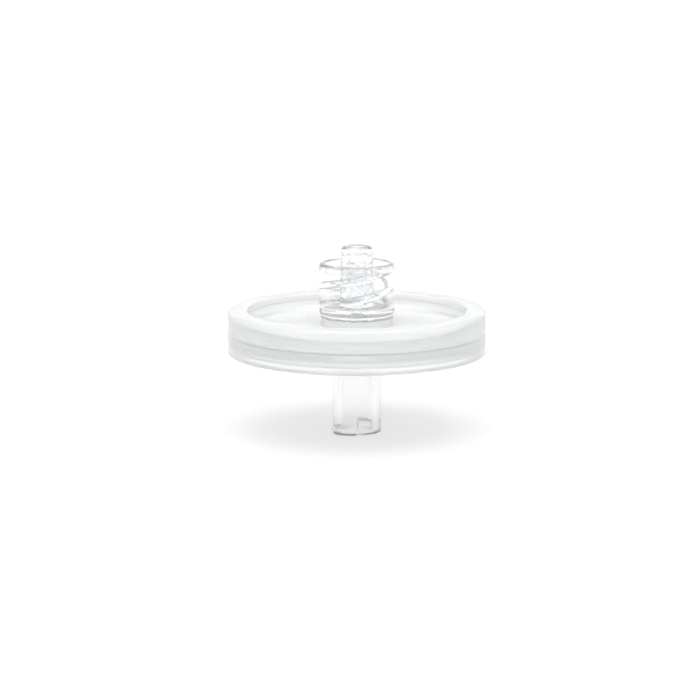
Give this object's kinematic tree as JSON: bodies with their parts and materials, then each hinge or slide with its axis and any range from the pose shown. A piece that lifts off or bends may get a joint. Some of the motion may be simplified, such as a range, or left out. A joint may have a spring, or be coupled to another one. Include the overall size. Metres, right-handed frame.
{
  "type": "syringe filter",
  "caption": "Round clear plastic syringe filter: female luer lock inlet tube below, membrane in a moulded ring, male luer cone in a threaded collar above.",
  "frame": {"origin": "centre of the end of the inlet tube, which the filter stands on", "axes": "+Z is the common axis of the tube, the ring and the cone, from inlet to outlet; +X and +Y lie across it, with the lugs 56 degrees from the X axis"},
  "size_m": [0.0332, 0.0332, 0.024],
  "materials": {
    "clear_housing": "clear, colourless, polished moulded plastic",
    "clear_ring": "clear moulded plastic with a faintly frosted outer wall",
    "membrane": "matt white porous film"
  },
  "bodies": {
    "root": {"inlet_housing": "clear_housing", "membrane": "membrane", "outlet_housing": "clear_housing", "outer_ring": "clear_ring"}
  },
  "joints": []
}
